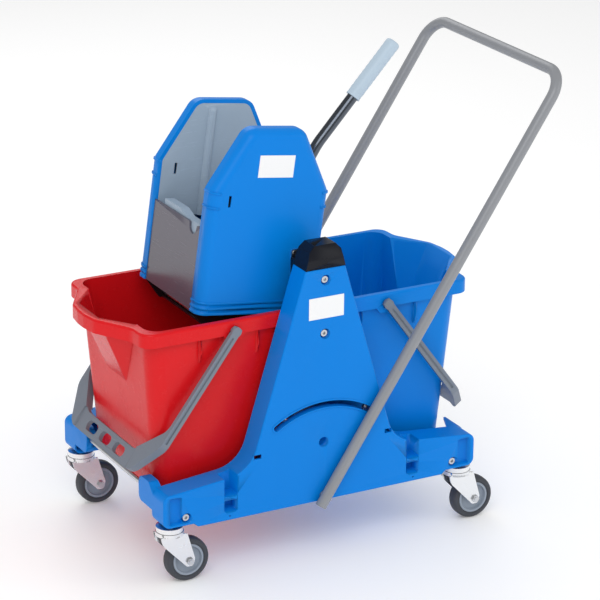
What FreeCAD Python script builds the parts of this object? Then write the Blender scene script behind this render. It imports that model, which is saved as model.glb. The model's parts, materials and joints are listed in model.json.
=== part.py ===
import FreeCAD, Part
import os
from math import atan2, cos, hypot, pi, radians, sin, tan

from FreeCAD import Vector

# Double-bucket mopping trolley with a lever wringer, in millimetres.
# X runs along the trolley (red bucket at -X, blue bucket at +X), Y runs across it, Z is up.
# Everything is drawn about the middle of the two towers and the floor; store() then moves it so that
# the origin is under the middle of the whole object's box.

# ---------------------------------------------------------------- driving dimensions
# casters
WHEEL_R = 40.0            # rolling radius
TREAD_W = 24.0            # tyre width
TYRE_DEPTH = 11.0         # tyre, from tread to wheel core
HUB_W = 28.0              # width of the wheel's hub
AXLE_R = 4.0
CASTER_TRAIL = 31.0       # axle behind the swivel axis
SWIVEL_X = 288.0          # swivel axis from the middle of the trolley
SWIVEL_INSET = 23.0       # swivel axis in from a side frame's outer face
STEM_R = 6.0
STEM_GRIP = 30.0          # length of stem held in the chassis
FORK_PLATE = 2.5
RACE_R = 24.0
RACE_GAP = 0.6            # between the turning and the fixed race
CASTER_H = 108.0          # floor to the seat of the caster

# side frames
FRAME_Y = 207.0           # outer face of a side frame
FRAME_DEPTH = 46.0
FRAME_WALL = 4.0
FRAME_EDGE_R = 3.0        # rounding round the outer face
BEAM_HALF = 310.0         # half length of a beam
BEAM_BOTTOM = 104.0
BLOCK_BOTTOM = 111.0      # underside of the raised end blocks
BLOCK_X = 252.0           # where an end block starts
BEAM_TOP_END = 171.0
BEAM_TOP_MID = 187.0      # beam's top line where it would meet the tower
TOWER_TOP = 536.0
TOWER_HALF = 38.5         # half width of the tower's top
TOWER_FOOT_HALF = 144.0   # half width of the tower at the beam's top line
TOWER_FOOT_R = 62.0
ARM_LENGTH = 53.0         # inward arm at the red end
ARM_THICK = 18.0
ARM_BOTTOM = 132.0
FIN_LENGTH = 53.0         # thin inward lip at the blue end
FIN_THICK = 4.0
LEDGE_LAP = 13.0          # how far a bucket's foot stands on the ledge inside each beam
LEDGE_THICK = 6.0
LEDGE_TOP = 132.0
BASE_SCREW_X = 266.0
BASE_SCREW_Z = 125.0
TOWER_TUBE_Z = (417.0, 215.5)
CAP_SCREW_Z = 515.0
SCREW_POCKET_R = 9.5
SCREW_HEAD_R = 6.0
SCREW_DEEP = 9.0
SCREW_R = 4.0
BASE_TUBE_R = 7.0
TOWER_TUBE_R = 8.0
END_ROD_R = 4.0
END_ROD_X = 301.0
END_ROD_Z = 158.0
SOCKET_DEPTH = 14.0       # plain socket low in each tower
CAP_TOP = 578.0

# push handle
PIVOT_Z = 116.0
HANDLE_R = 10.0
HANDLE_WALL = 1.5
HANDLE_GAP = 1.5          # between tube and side frame
HANDLE_REACH = 844.0      # pivot to the middle of the crossbar
HANDLE_LEAN = 33.2        # degrees from upright at rest
HANDLE_TAIL = 20.0        # tube below the pivot
HANDLE_BEND_R = 45.0
SLOT_R = 170.0            # arc slot about the pivot
SLOT_HALF_W = 5.6
SLOT_LIP = 1.0            # raised rim round the slot
BOLT_R = 5.0
BOLT_FIT = 0.08

# buckets
RIM_TOP = 450.0
RIM_SKIRT = 25.0
RIM_THICK = 3.5
RIM_HALF_Y = 158.0
RIM_INNER_X = 16.0
RIM_CORNER_X = 321.0
SPOUT_X = 366.0           # tip of the pouring spout
SPOUT_HALF = 45.0
SPOUT_ROOT_HALF = 107.0
SPOUT_APEX_Z = 325.0
BUCKET_WALL = 3.0
BUCKET_BOTTOM = LEDGE_TOP
BUCKET_TOP_X = 308.0      # outer end of the body just under the rim
BUCKET_FOOT_X = (36.0, 283.0)
BUCKET_FOOT_HALF_Y = 134.0
BUCKET_CORNER_R = 30.0

# bails
BAIL_PIVOT_X = 150.0
BAIL_PIVOT_Z = 432.0
BAIL_REACH = 284.0        # pivot to the middle of the grip band
BAIL_LEAN = 36.7          # degrees from hanging straight down
BAIL_LEG_W = 8.0
BAIL_LEG_T = 15.0
BAIL_BAND = 36.0
BAIL_GAP = 2.0            # between bail and rim skirt
BAIL_PIN_R = 5.0

# wringer, in its own upright frame (u along the jaw's travel, y across, w up)
WRINGER_TILT = 7.7
WRINGER_AT = (-87.2, 439.7)
HOUSE_HALF = 114.5
HOUSE_SHOULDER = 219.0
HOUSE_TOP = 327.0
HOUSE_TOP_HALF = 54.0
HOUSE_Y = (89.0, 120.0)   # open side and outer face of a housing
HOUSE_WALL = 3.0
RIDGE_RISE = 1.6
MOUTH_FLANGE = 7.0        # thick edge round a housing's open side
HOUSE_EDGE_R = 18.0
LINER_THICK = 3.0
LINER_INSET = 7.0
LINER_DROP = 35.0
RELIEF_X = -34.0          # the wringer is cut away past here, over the buckets' inner rims
RELIEF_Z = 455.0
END_WALL = 4.0
END_WALL_TOP = 147.0
COUNTER_THICK = 17.0
JAW_REST = 10.0           # pressing face at rest
JAW_THICK = 6.0
JAW_HALF = 80.0
JAW_TOP = 150.0
JAW_TRAVEL = 59.8
SHAFT_UW = (78.0, 124.0)
SHAFT_R = 8.0
CRANK_R = 60.0
CRANK_REST = 25.0         # degrees right of straight down
LEVER_SWING = 60.0
ROLLER_R = 7.0
ROLLER_PLAY = 1.3
LEVER_R = 10.0
LEVER_WALL = 2.0
LEVER_BEND_AT = 162.0     # from the shaft to the bend
LEVER_TOP = 226.0         # from the bend to the top end
LEVER_LEAN = (32.9, 42.3)  # degrees from upright below and above the bend
GRIP_R = 13.7
GRIP_LENGTH = 123.0
TRUNNION_AT = (0.0, 522.0)
TRUNNION_R = 14.0
TRUNNION_FLANGE_R = 19.0
SEAT_GAP = 0.3            # running clearance of rounded seats
HANGER_THICK = 4.0
HANGER_LEG_W = 5.4
LABEL = (68.0, 39.0, 0.6)

# ---------------------------------------------------------------- worked-out places
FRAME_INNER_Y = FRAME_Y - FRAME_DEPTH
SWIVEL_Y = FRAME_Y - SWIVEL_INSET
LEDGE_W = FRAME_INNER_Y - BUCKET_FOOT_HALF_Y + LEDGE_LAP
HANDLE_Y = FRAME_Y + HANDLE_GAP + HANDLE_R
BAR_X = HANDLE_REACH * sin(radians(HANDLE_LEAN))
BAR_Z = PIVOT_Z + HANDLE_REACH * cos(radians(HANDLE_LEAN))
SHIFT = Vector((SPOUT_X - BAR_X - HANDLE_R) / 2, 0, 0)
UP = Vector(0, 0, 1)
ALONG = Vector(1, 0, 0)
ACROSS = Vector(0, 1, 0)
ORIGIN = Vector(0, 0, 0)


# ---------------------------------------------------------------- shape helpers
def box(x_span, y_span, z_span):
    """Box between the low and high value of each span."""
    low = Vector(min(x_span), min(y_span), min(z_span))
    high = Vector(max(x_span), max(y_span), max(z_span))
    size = high - low
    return Part.makeBox(size.x, size.y, size.z, low)


def rod(radius, start, end):
    """Round bar between two points."""
    return Part.makeCylinder(radius, (end - start).Length, start, end - start)


def ring(outer, inner, start, end):
    """Tube between two points."""
    return rod(outer, start, end).cut(rod(inner, start, end))


def fuse(shapes):
    """One solid from overlapping shapes."""
    first, rest = shapes[0], list(shapes[1:])
    return first.fuse(rest).removeSplitter() if rest else first


def group(shapes):
    """Separate solids kept in one node."""
    return Part.makeCompound(list(shapes))


def rounded_wire(corners, place):
    """Closed outline through (a, b, radius) corners, each corner rounded by its radius."""
    points = [Vector(a, b, 0) for a, b, _ in corners]
    arcs = []
    for index, (_, _, radius) in enumerate(corners):
        here = points[index]
        back = (points[index - 1] - here).normalize()
        ahead = (points[(index + 1) % len(points)] - here).normalize()
        if radius <= 0:
            arcs.append((here, None, here))
            continue
        half = back.getAngle(ahead) / 2
        trim = radius / tan(half)
        middle = here + (back + ahead).normalize() * (radius / sin(half) - radius)
        arcs.append((here + back * trim, middle, here + ahead * trim))
    edges = []
    for index, (start, middle, end) in enumerate(arcs):
        if middle is not None:
            edges.append(Part.Arc(place(start), place(middle), place(end)).toShape())
        following = arcs[(index + 1) % len(arcs)][0]
        if (following - end).Length > 1e-6:
            edges.append(Part.LineSegment(place(end), place(following)).toShape())
    return Part.Wire(edges)


def prism_y(corners, y_from, y_to):
    """Outline in the X-Z plane, drawn out along Y."""
    wire = rounded_wire(corners, lambda p: Vector(p.x, y_from, p.y))
    return Part.Face(wire).extrude(Vector(0, y_to - y_from, 0))


def prism_x(corners, x_from, x_to):
    """Outline in the Y-Z plane, drawn out along X."""
    wire = rounded_wire(corners, lambda p: Vector(x_from, p.x, p.y))
    return Part.Face(wire).extrude(Vector(x_to - x_from, 0, 0))


def prism_z(corners, z_from, z_to):
    """Outline in plan, drawn up along Z."""
    wire = rounded_wire(corners, lambda p: Vector(p.x, p.y, z_from))
    return Part.Face(wire).extrude(Vector(0, 0, z_to - z_from))


def inset(corners, distance):
    """The same outline moved inwards by a distance; corner radii shrink or grow to match."""
    count = len(corners)
    area = sum(corners[i - 1][0] * corners[i][1] - corners[i][0] * corners[i - 1][1] for i in range(count))
    turn = 1 if area > 0 else -1
    moved = []
    for index, (a, b, radius) in enumerate(corners):
        before, after = corners[index - 1], corners[(index + 1) % count]
        first = Vector(a - before[0], b - before[1], 0).normalize()
        second = Vector(after[0] - a, after[1] - b, 0).normalize()
        normal_1 = Vector(-first.y, first.x, 0) * turn
        normal_2 = Vector(-second.y, second.x, 0) * turn
        bisector = normal_1 + normal_2
        step = bisector * (distance / (1 + normal_1.dot(normal_2)))
        convex = (first.x * second.y - first.y * second.x) * turn > 0
        new_radius = max(radius - distance, 0.5) if convex else radius + distance
        moved.append((a + step.x, b + step.y, new_radius if radius > 0 else 0))
    return moved


def both_sides(corners):
    """Outline completed by its mirror image in the vertical axis, from bottom to top on the right."""
    mirrored = [(-a, b, radius) for a, b, radius in reversed(corners)]
    return list(corners) + mirrored


def rounded_plan(x_span, half_y, radius):
    """Rounded rectangle in plan."""
    return [(x_span[0], -half_y, radius), (x_span[1], -half_y, radius),
            (x_span[1], half_y, radius), (x_span[0], half_y, radius)]


def edges_at_y(shape, y_value):
    """Edges of a shape that lie whole in one plane across Y."""
    found = []
    for edge in shape.Edges:
        if abs(edge.BoundBox.YMin - y_value) < 1e-4 and abs(edge.BoundBox.YMax - y_value) < 1e-4:
            found.append(edge)
    return found


def edges_at_z(shape, z_value):
    """Edges of a shape that lie whole in one level plane."""
    found = []
    for edge in shape.Edges:
        if abs(edge.BoundBox.ZMin - z_value) < 1e-4 and abs(edge.BoundBox.ZMax - z_value) < 1e-4:
            found.append(edge)
    return found


def mirror_x(shape):
    return shape.mirror(ORIGIN, ALONG)


def mirror_y(shape):
    return shape.mirror(ORIGIN, ACROSS)


def pair_y(shape):
    """A piece and its copy on the other side of the trolley."""
    return [shape, mirror_y(shape)]


def tilted(shape):
    """Moves a wringer piece from its own upright frame into the trolley."""
    moved = shape.copy()
    moved.rotate(ORIGIN, ACROSS, WRINGER_TILT)
    moved.translate(Vector(WRINGER_AT[0], 0, WRINGER_AT[1]))
    return moved


def from_tilted(u, w):
    """Trolley X and Z of a point in the wringer's own frame."""
    angle = radians(WRINGER_TILT)
    return (WRINGER_AT[0] + u * cos(angle) + w * sin(angle), WRINGER_AT[1] - u * sin(angle) + w * cos(angle))


def into_tilted(x, z):
    """Wringer-frame u and w of a point in the trolley."""
    angle = radians(WRINGER_TILT)
    dx, dz = x - WRINGER_AT[0], z - WRINGER_AT[1]
    return (dx * cos(angle) - dz * sin(angle), dx * sin(angle) + dz * cos(angle))


def bent_tube(points, bend_radius, radius, wall):
    """Tube along straight runs joined by tangent arcs, with square-cut open ends."""
    edges = []
    start = points[0]
    for index in range(1, len(points) - 1):
        here = points[index]
        back = (start - here).normalize() if index == 1 else (points[index - 1] - here).normalize()
        ahead = (points[index + 1] - here).normalize()
        half = back.getAngle(ahead) / 2
        trim = bend_radius / tan(half)
        middle = here + (back + ahead).normalize() * (bend_radius / sin(half) - bend_radius)
        edges.append(Part.LineSegment(start, here + back * trim).toShape())
        edges.append(Part.Arc(here + back * trim, middle, here + ahead * trim).toShape())
        start = here + ahead * trim
    edges.append(Part.LineSegment(start, points[-1]).toShape())
    path = Part.Wire(edges)
    direction = points[1] - points[0]

    def swept(section_radius):
        circle = Part.Wire(Part.makeCircle(section_radius, points[0], direction))
        return path.makePipeShell([circle], True, True)

    return swept(radius).cut(swept(radius - wall))


STORED = {}


def store(name, shape):
    """Keeps a finished sub-part under its node name."""
    placed = shape.copy()
    placed.translate(SHIFT)
    STORED[name] = placed


# ---------------------------------------------------------------- casters
def caster(tag, x, y):
    """One swivel caster, its wheel trailing towards +X."""
    axle = Vector(x + CASTER_TRAIL, y, WHEEL_R)
    core_r = WHEEL_R - TYRE_DEPTH
    half_tread, half_hub = TREAD_W / 2, HUB_W / 2
    leg_in = half_hub + 0.5
    leg_out = leg_in + FORK_PLATE

    def across(radius, y_from, y_to):
        return rod(radius, axle + ACROSS * y_from, axle + ACROSS * y_to)

    tyre = across(WHEEL_R, -half_tread, half_tread)
    rims = [edge for edge in tyre.Edges if abs(edge.BoundBox.XLength - 2 * WHEEL_R) < 0.01
            and edge.BoundBox.YLength < 0.01]
    tyre = tyre.makeFillet(TYRE_DEPTH * 0.6, rims)
    store("tyre_" + tag, tyre.cut(across(core_r, -half_tread, half_tread)))

    core = across(core_r, -half_tread + 1, half_tread - 1)
    for side in (-1, 1):
        dish = across(core_r - 4, side * 4, side * half_tread)
        core = core.cut(dish)
    core = core.fuse(across(AXLE_R + 6, -half_hub, half_hub)).cut(across(AXLE_R + BOLT_FIT, -half_hub, half_hub))
    store("wheel_core_" + tag, core.removeSplitter())

    deck_z = CASTER_H - 13.0
    leg_top = deck_z - 1.0
    eye_r = AXLE_R + 5.5
    outline = [(x - RACE_R, leg_top, 2), (x + RACE_R + 2, leg_top, 2), (axle.x + eye_r, WHEEL_R + 4, 8),
               (axle.x + eye_r - 3, WHEEL_R - eye_r, 6), (axle.x - 6, WHEEL_R - eye_r, 6), (x - RACE_R + 3, leg_top - 15, 30)]
    legs = [prism_y(outline, y + leg_in, y + leg_out), prism_y(outline, y - leg_out, y - leg_in)]
    deck = rod(RACE_R + 1, Vector(x, y, deck_z - 3), Vector(x, y, deck_z))
    race = ring(RACE_R + 1, RACE_R - 5, Vector(x, y, deck_z - 0.5), Vector(x, y, deck_z + 4))
    fork = fuse(legs + [deck, race])
    fork = fork.cut(rod(STEM_R + BOLT_FIT, Vector(x, y, deck_z - 20), Vector(x, y, CASTER_H)))
    store("fork_" + tag, fork.cut(across(AXLE_R, -leg_out, leg_out)))

    race_z = deck_z + 4 + RACE_GAP
    head = rod(RACE_R, Vector(x, y, race_z), Vector(x, y, CASTER_H))
    neck = rod(RACE_R - 6, Vector(x, y, deck_z + RACE_GAP), Vector(x, y, race_z + 1))
    stem = rod(STEM_R, Vector(x, y, deck_z - 8), Vector(x, y, CASTER_H + STEM_GRIP))
    nut = rod(STEM_R + 4, Vector(x, y, deck_z - 8), Vector(x, y, deck_z - 3 - RACE_GAP))
    store("caster_stem_" + tag, fuse([head, neck, stem, nut]))

    bolt = across(AXLE_R, -leg_out - 5, leg_out + 3)
    bolt_head = across(AXLE_R + 3, leg_out, leg_out + 4)
    wire = rounded_wire([(axle.x + 7 * cos(pi * k / 3), axle.z + 7 * sin(pi * k / 3), 0) for k in range(6)],
                        lambda p: Vector(p.x, y - leg_out - 4, p.y))
    nut_plate = Part.Face(wire).extrude(Vector(0, 4, 0))
    store("axle_" + tag, fuse([bolt, bolt_head, nut_plate]))


# ---------------------------------------------------------------- chassis
def frame_outline():
    """Outside line of a side frame: beam, raised end blocks and tower."""
    return both_sides([(BLOCK_X - 9, BEAM_BOTTOM, 6), (BLOCK_X, BLOCK_BOTTOM, 4), (BEAM_HALF, BLOCK_BOTTOM, 14),
                       (BEAM_HALF, BEAM_TOP_END, 14), (TOWER_FOOT_HALF, BEAM_TOP_MID, TOWER_FOOT_R),
                       (TOWER_HALF, TOWER_TOP, 4)])


def slot_sector(y_from, y_to, grow=0.0):
    """Arc slot for the push handle's guide bolt."""
    half_w = SLOT_HALF_W + grow
    centre = Vector(0, y_from, PIVOT_Z)
    half_angle = radians(HANDLE_LEAN)
    depth = Vector(0, y_to - y_from, 0)

    def at(radius, angle):
        return centre + Vector(radius * sin(angle), 0, radius * cos(angle))

    outer, inner = SLOT_R + half_w, SLOT_R - half_w
    edges = [Part.Arc(at(outer, -half_angle), at(outer, 0), at(outer, half_angle)).toShape(),
             Part.Arc(at(inner, half_angle), at(inner, 0), at(inner, -half_angle)).toShape()]
    for angle, sign in ((half_angle, 1), (-half_angle, -1)):
        first, last = (at(outer, angle), at(inner, angle))
        tip = at(SLOT_R, angle) + Vector(cos(angle), 0, -sin(angle)) * half_w * sign
        edges.append(Part.Arc(first, tip, last).toShape())
    wire = Part.Wire(Part.sortEdges(edges)[0])
    return Part.Face(wire).extrude(depth)


def side_frame():
    """Front side frame: an open-backed moulding with a tower, end arms and a bucket ledge."""
    outer_y, inner_y = -FRAME_Y, -FRAME_INNER_Y
    plate_y = outer_y + FRAME_WALL
    outline = frame_outline()
    solid = prism_y(outline, outer_y, inner_y)
    solid = solid.makeFillet(FRAME_EDGE_R, edges_at_y(solid, outer_y))
    hollow = prism_y(inset(outline, FRAME_WALL), plate_y, inner_y + 1)
    shell = solid.cut(hollow)

    added, cut_away = [], []

    def pocket(x_span, z_span, depth, wall=3.0):
        """Blind pocket sunk into the outer face."""
        added.append(box((x_span[0] - wall, x_span[1] + wall), (plate_y - 1, outer_y + depth + wall),
                         (z_span[0] - wall, z_span[1] + wall)).common(solid))
        corners = [(x_span[0], z_span[0], 2.5), (x_span[1], z_span[0], 2.5),
                   (x_span[1], z_span[1], 2.5), (x_span[0], z_span[1], 2.5)]
        cut_away.append(prism_y(corners, outer_y - 1, outer_y + depth))

    for side in (-1, 1):
        def span(low, high):
            return (side * low, side * high) if side > 0 else (-high, -low)

        pocket(span(168, 194), (150, 197), 30)
        pocket(span(168, 194), (121, 142), 24)
        pocket(span(275, 298), (117, 166), 9)
        cut_away.append(box(span(122.5, 136.5), (outer_y - 1, plate_y + 1), (208, 216)))
        small = Vector(side * 183, outer_y - 1, 112.5)
        cut_away.append(rod(1.6, small, small + ACROSS * 8))
        socket = Vector(side * SWIVEL_X, -SWIVEL_Y, CASTER_H)
        added.append(rod(STEM_R + 6, socket + UP * 2, socket + UP * (STEM_GRIP + 6)).common(solid))
        added.append(box((side * SWIVEL_X - 22, side * SWIVEL_X + 22), (plate_y - 1, inner_y),
                         (BLOCK_BOTTOM, BLOCK_BOTTOM + 8)).common(solid))
        cut_away.append(rod(STEM_R, socket, socket + UP * (STEM_GRIP + 0.5)))
        cut_away.append(rod(RACE_R + 2, socket - UP * 4, socket))
        for rib_x in (225, 105, 45):
            top = 200 if rib_x > 140 else 330
            added.append(box((side * rib_x - 1.5, side * rib_x + 1.5), (plate_y - 1, inner_y),
                             (BEAM_BOTTOM, top)).common(solid))
        ledge = box(span(28, 255), (inner_y - 2, inner_y + LEDGE_W), (LEDGE_TOP - LEDGE_THICK, LEDGE_TOP))
        added.append(ledge)
    for level in (300, 360, 460):
        added.append(box((-140, 140), (plate_y - 1, inner_y - 10), (level - 1.5, level + 1.5)).common(solid))

    # screw pockets and the bosses behind them
    tubes = [(0, z, TOWER_TUBE_R) for z in TOWER_TUBE_Z]
    tubes += [(side * BASE_SCREW_X, BASE_SCREW_Z, BASE_TUBE_R) for side in (-1, 1)]
    for x, z, tube_r in tubes:
        mouth = Vector(x, outer_y, z)
        deep = SOCKET_DEPTH if z == TOWER_TUBE_Z[1] else SCREW_DEEP
        added.append(rod(SCREW_POCKET_R + 3, mouth + ACROSS * FRAME_EDGE_R, Vector(x, inner_y, z)))
        cut_away.append(rod(SCREW_POCKET_R, mouth - ACROSS, mouth + ACROSS * deep))
        cut_away.append(rod(SCREW_R, mouth, mouth + ACROSS * 30))
        cut_away.append(rod(tube_r, mouth + ACROSS * 24, Vector(x, inner_y + 1, z)))
    cap_mouth = Vector(0, outer_y, CAP_SCREW_Z)
    cut_away.append(rod(SCREW_POCKET_R, cap_mouth - ACROSS, cap_mouth + ACROSS * SCREW_DEEP))
    added.append(rod(SCREW_POCKET_R + 3, cap_mouth + ACROSS * FRAME_EDGE_R, cap_mouth + ACROSS * 12))
    cut_away.append(rod(SCREW_R, cap_mouth, cap_mouth + ACROSS * 14))
    cut_away.append(box((-TOWER_HALF + 5, TOWER_HALF - 5), (outer_y + 12, inner_y + 1), (CAP_SCREW_Z - 22, TOWER_TOP + 1)))

    # pivot boss and the arc slot of the push handle
    pivot = Vector(0, outer_y, PIVOT_Z)
    added.append(rod(BOLT_R + 7, pivot + ACROSS * FRAME_EDGE_R, pivot + ACROSS * 24).common(solid))
    cut_away.append(rod(BOLT_R + BOLT_FIT, pivot - ACROSS, pivot + ACROSS * 30))
    added.append(slot_sector(outer_y - SLOT_LIP, outer_y + 12, 3.0))
    cut_away.append(slot_sector(outer_y - 2, outer_y + 13))
    cut_away.append(slot_sector(outer_y + 12, inner_y + 1, 10.0))

    frame = fuse([shell] + added)

    # arms at the red end, and thin lips at the blue end
    arm_outline = [(inner_y - 4, ARM_BOTTOM, 0), (inner_y + ARM_LENGTH, ARM_BOTTOM, 12),
                   (inner_y + ARM_LENGTH, BEAM_TOP_END + 8, 14), (inner_y + 12, BEAM_TOP_END + 8, 8),
                   (inner_y - 4, BEAM_TOP_END - 2, 0)]
    arm = prism_x(arm_outline, -BEAM_HALF, -BEAM_HALF + ARM_THICK)
    rod_start = Vector(-END_ROD_X, inner_y + ARM_LENGTH - 12, END_ROD_Z)
    arm = arm.cut(rod(END_ROD_R, rod_start, rod_start + ACROSS * 20))
    fin_plan = [(BEAM_HALF - 30, inner_y - 3, 0), (BEAM_HALF - 2, inner_y - 3, 0),
                (BEAM_HALF - 2, inner_y + FIN_LENGTH, 1.5), (BEAM_HALF - 6, inner_y + FIN_LENGTH, 1.5)]
    fin = prism_z(fin_plan, BEAM_TOP_END - 3 - FIN_THICK, BEAM_TOP_END - 3)
    fin_rib = box((BEAM_HALF - 8, BEAM_HALF - 4), (inner_y - 3, inner_y + 24),
                  (ARM_BOTTOM, BEAM_TOP_END - 3 - FIN_THICK / 2))
    frame = fuse([frame, arm, fin, fin_rib])
    return frame.cut(cut_away).removeSplitter()


def chassis():
    front = side_frame()
    store("front_side_frame", front)
    store("rear_side_frame", mirror_y(front))

    def cross(radius, x, z, half, bore=0.0):
        bar = rod(radius, Vector(x, -half, z), Vector(x, half, z))
        if bore:
            bar = bar.cut(rod(bore, Vector(x, -half, z), Vector(x, half, z)))
        return bar

    tube_half = FRAME_Y - 24
    store("tower_cross_tubes", group(cross(TOWER_TUBE_R, 0, z, tube_half, SCREW_R) for z in TOWER_TUBE_Z))
    store("base_cross_tubes", group(cross(BASE_TUBE_R, side * BASE_SCREW_X, BASE_SCREW_Z, tube_half, SCREW_R)
                                    for side in (-1, 1)))
    rod_half = FRAME_INNER_Y - ARM_LENGTH + 12
    store("end_rod", cross(END_ROD_R, -END_ROD_X, END_ROD_Z, rod_half))

    screws = []
    deep = SCREW_DEEP
    places = [(0, TOWER_TUBE_Z[0], 44.0), (0, CAP_SCREW_Z, 26.0)]
    places += [(side * BASE_SCREW_X, BASE_SCREW_Z, 44.0) for side in (-1, 1)]
    for x, z, length in places:
        seat = Vector(x, -FRAME_Y + deep, z)
        head_height = 5.0
        head = rod(SCREW_HEAD_R, seat - ACROSS * head_height, seat)
        hexagon = rounded_wire([(x + 3.2 * cos(pi * k / 3), z + 3.2 * sin(pi * k / 3), 0) for k in range(6)],
                               lambda p: Vector(p.x, seat.y - head_height, p.y))
        head = head.cut(Part.Face(hexagon).extrude(Vector(0, 3, 0)))
        shank = rod(SCREW_R, seat - ACROSS, seat + ACROSS * (length - deep))
        screws += pair_y(head.fuse(shank))
    store("frame_screws", group(screws))

    # caps: the visible hood on the tower and the seat for the wringer's trunnion behind it
    hood_outline = both_sides([(TOWER_HALF, TOWER_TOP, 0), (30.5, 567.5, 2), (20.5, CAP_TOP, 2)])
    hood = prism_y(hood_outline, -FRAME_Y + 0.5, -FRAME_INNER_Y)
    front_chamfer = prism_x([(-FRAME_Y - 1, TOWER_TOP + 8, 0), (-FRAME_Y - 1, CAP_TOP + 1, 0),
                             (-FRAME_Y + 5, CAP_TOP + 1, 0)], -60, 60)
    rear_chamfer = prism_x([(-FRAME_INNER_Y + 1, TOWER_TOP + 12, 0), (-FRAME_INNER_Y + 1, CAP_TOP + 1, 0),
                            (-FRAME_INNER_Y - 6, CAP_TOP + 1, 0)], -60, 60)
    hood = hood.cut([front_chamfer, rear_chamfer])
    seat_z = TRUNNION_AT[1]
    spigot = box((-TOWER_HALF + 5.3, TOWER_HALF - 5.3), (-FRAME_Y + 12.2, -FRAME_INNER_Y), (CAP_SCREW_Z - 21.5, TOWER_TOP + 2))
    seat_block = prism_y(both_sides([(18, seat_z - 30, 8), (26, seat_z - 12, 4), (26, seat_z + 14, 3)]),
                         -FRAME_INNER_Y - 2, -HOUSE_Y[1] - 8)
    cap = fuse([hood, spigot, seat_block])
    groove_r = TRUNNION_R + SEAT_GAP
    groove = rod(groove_r, Vector(0, -FRAME_INNER_Y + 2, seat_z), Vector(0, -HOUSE_Y[1], seat_z))
    lift = box((-groove_r, groove_r), (-FRAME_INNER_Y + 2, -HOUSE_Y[1]), (seat_z, seat_z + 40))
    screw_hole = rod(SCREW_R, Vector(0, -FRAME_Y + 10, CAP_SCREW_Z), Vector(0, -FRAME_Y + 27, CAP_SCREW_Z))
    cap = cap.cut([groove, lift, screw_hole])
    store("front_tower_cap", cap)
    store("rear_tower_cap", mirror_y(cap))

    label_w, label_h, label_t = LABEL
    store("tower_label", box((1.8 - label_w / 2, 1.8 + label_w / 2), (-FRAME_Y - label_t, -FRAME_Y), (446, 446 + label_h)))


# ---------------------------------------------------------------- push handle
def push_handle():
    lean = radians(HANDLE_LEAN)
    direction = Vector(sin(lean), 0, cos(lean))
    pivot = Vector(0, 0, PIVOT_Z)
    foot = pivot - direction * HANDLE_TAIL
    top = pivot + direction * HANDLE_REACH
    side = ACROSS * HANDLE_Y
    tube = bent_tube([foot - side, top - side, top + side, foot + side], HANDLE_BEND_R, HANDLE_R, HANDLE_WALL)
    pivot_bolts, guide_bolts, holes = [], [], []
    for distance, bolts, deep in ((0.0, pivot_bolts, 26.0), (SLOT_R, guide_bolts, 14.5)):
        at = pivot + direction * distance
        face_y = -FRAME_Y - HANDLE_GAP
        outer = Vector(at.x, face_y - 2 * HANDLE_R + HANDLE_WALL + 0.4, at.z)
        inner = Vector(at.x, -FRAME_Y + deep, at.z)
        shank = rod(BOLT_R, outer, inner)
        head = rod(BOLT_R + 2.4, inner, inner + ACROSS * 5)
        washer = ring(BOLT_R + 2.6, BOLT_R, inner - ACROSS * 1.6, inner)
        pieces = [shank, head, washer]
        if distance == 0:
            pieces.append(ring(BOLT_R + 2, BOLT_R, Vector(at.x, face_y + 0.2, at.z), Vector(at.x, -FRAME_Y - 0.2, at.z)))
        bolts += pair_y(fuse(pieces))
        holes += pair_y(rod(BOLT_R, outer, inner))
    store("push_handle_tube", tube.cut(holes))
    store("handle_pivot_bolts", group(pivot_bolts))
    store("handle_guide_bolts", group(guide_bolts))


# ---------------------------------------------------------------- buckets and bails
def rim_plan():
    """Rim outline of the blue bucket in plan, from its inner end round the pouring spout."""
    side = [(RIM_INNER_X, -RIM_HALF_Y, 24), (RIM_CORNER_X - 1, -RIM_HALF_Y, 24), (RIM_CORNER_X + 1, -SPOUT_ROOT_HALF - 4, 34),
            (SPOUT_X - 5, -SPOUT_HALF, 34), (SPOUT_X, -12, 40)]
    return side + [(x, -y, radius) for x, y, radius in reversed(side)]


def spout_wedge(grow, top):
    """The bulge that runs down from the pouring spout and dies out in the end wall."""
    slope = (BUCKET_TOP_X - BUCKET_FOOT_X[1]) / (RIM_TOP - BUCKET_BOTTOM)
    apex_x = BUCKET_FOOT_X[1] + slope * (SPOUT_APEX_Z - BUCKET_BOTTOM) + grow
    tip_x, root_x = SPOUT_X - 13 + grow, BUCKET_TOP_X + 3 + grow
    inside = BUCKET_TOP_X - 30
    upper = [(inside, -SPOUT_ROOT_HALF), (root_x, -SPOUT_ROOT_HALF + 6 - grow), (tip_x, -SPOUT_HALF + 2 - grow),
             (tip_x, SPOUT_HALF - 2 + grow), (root_x, SPOUT_ROOT_HALF - 6 + grow), (inside, SPOUT_ROOT_HALF)]
    apex_half = SPOUT_HALF - 7
    lower = [(inside, -apex_half - 2), (apex_x, -apex_half - 1), (apex_x + 1, -apex_half),
             (apex_x + 1, apex_half), (apex_x, apex_half + 1), (inside, apex_half + 2)]
    wires = []
    for points, level in ((lower, SPOUT_APEX_Z), (upper, top)):
        corners = [Vector(x, y, level) for x, y in points]
        wires.append(Part.makePolygon(corners + corners[:1]))
    return Part.makeLoft(wires, True, True)


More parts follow.
